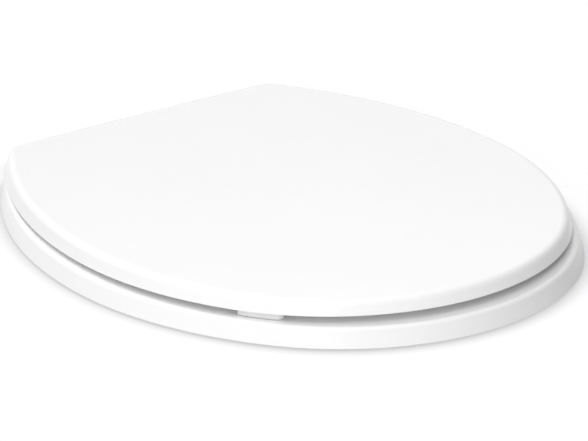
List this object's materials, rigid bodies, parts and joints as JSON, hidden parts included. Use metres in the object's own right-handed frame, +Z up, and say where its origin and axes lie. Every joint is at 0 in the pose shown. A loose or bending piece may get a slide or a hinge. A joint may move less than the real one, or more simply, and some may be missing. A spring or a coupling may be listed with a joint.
{
  "type": "toilet seat",
  "caption": "Closed toilet seat with a crowned lid over a flared oval ring, white rim buffers, and steel pin hinges on threaded studs for bolting to a bowl.",
  "frame": {"origin": "midway between the two fixing studs, on the top plane of the bowl where the hinge gaskets and the ring's buffers rest", "axes": "+Z up, -Y towards the nose of the seat, X along the hinge axis"},
  "size_m": [0.375, 0.4464, 0.0904],
  "materials": {
    "seat_white": "smooth gloss white moulding",
    "buffer_white": "soft off-white buffer, slightly matt",
    "hinge_steel": "satin stainless steel",
    "pin_steel": "ground stainless steel",
    "bush_plastic": "natural white bearing plastic",
    "gasket_rubber": "matt black rubber",
    "stud_steel": "stainless threaded rod",
    "nut_plastic": "white moulded plastic"
  },
  "bodies": {
    "hinge_mount": {"hinge_post_left": "hinge_steel", "hinge_pin_left": "pin_steel", "pin_cap_left": "hinge_steel", "foot_gasket_left": "gasket_rubber", "mounting_stud_left": "stud_steel", "seal_washer_left": "gasket_rubber", "flat_washer_left": "stud_steel", "wing_nut_left": "nut_plastic", "hinge_post_right": "hinge_steel", "hinge_pin_right": "pin_steel", "pin_cap_right": "hinge_steel", "foot_gasket_right": "gasket_rubber", "mounting_stud_right": "stud_steel", "seal_washer_right": "gasket_rubber", "flat_washer_right": "stud_steel", "wing_nut_right": "nut_plastic"},
    "ring": {"seat_ring": "seat_white", "ring_buffer_front_left": "buffer_white", "ring_buffer_rear_left": "buffer_white", "ring_bush_left": "bush_plastic", "ring_buffer_front_right": "buffer_white", "ring_buffer_rear_right": "buffer_white", "ring_bush_right": "bush_plastic"},
    "lid_body": {"lid": "seat_white", "lid_buffer_left": "buffer_white", "lid_bush_left": "bush_plastic", "lid_buffer_right": "buffer_white", "lid_bush_right": "bush_plastic"}
  },
  "joints": [
    {"name": "ring_hinge", "type": "hinge", "parent": "hinge_mount", "child": "ring", "pos_m": [0, 0, 0.009], "axis": [-1, 0, 0], "range_deg": [0, 95]},
    {"name": "lid_hinge", "type": "hinge", "parent": "ring", "child": "lid_body", "pos_m": [0, 0, 0.009], "axis": [-1, 0, 0], "range_deg": [0, 100]}
  ]
}
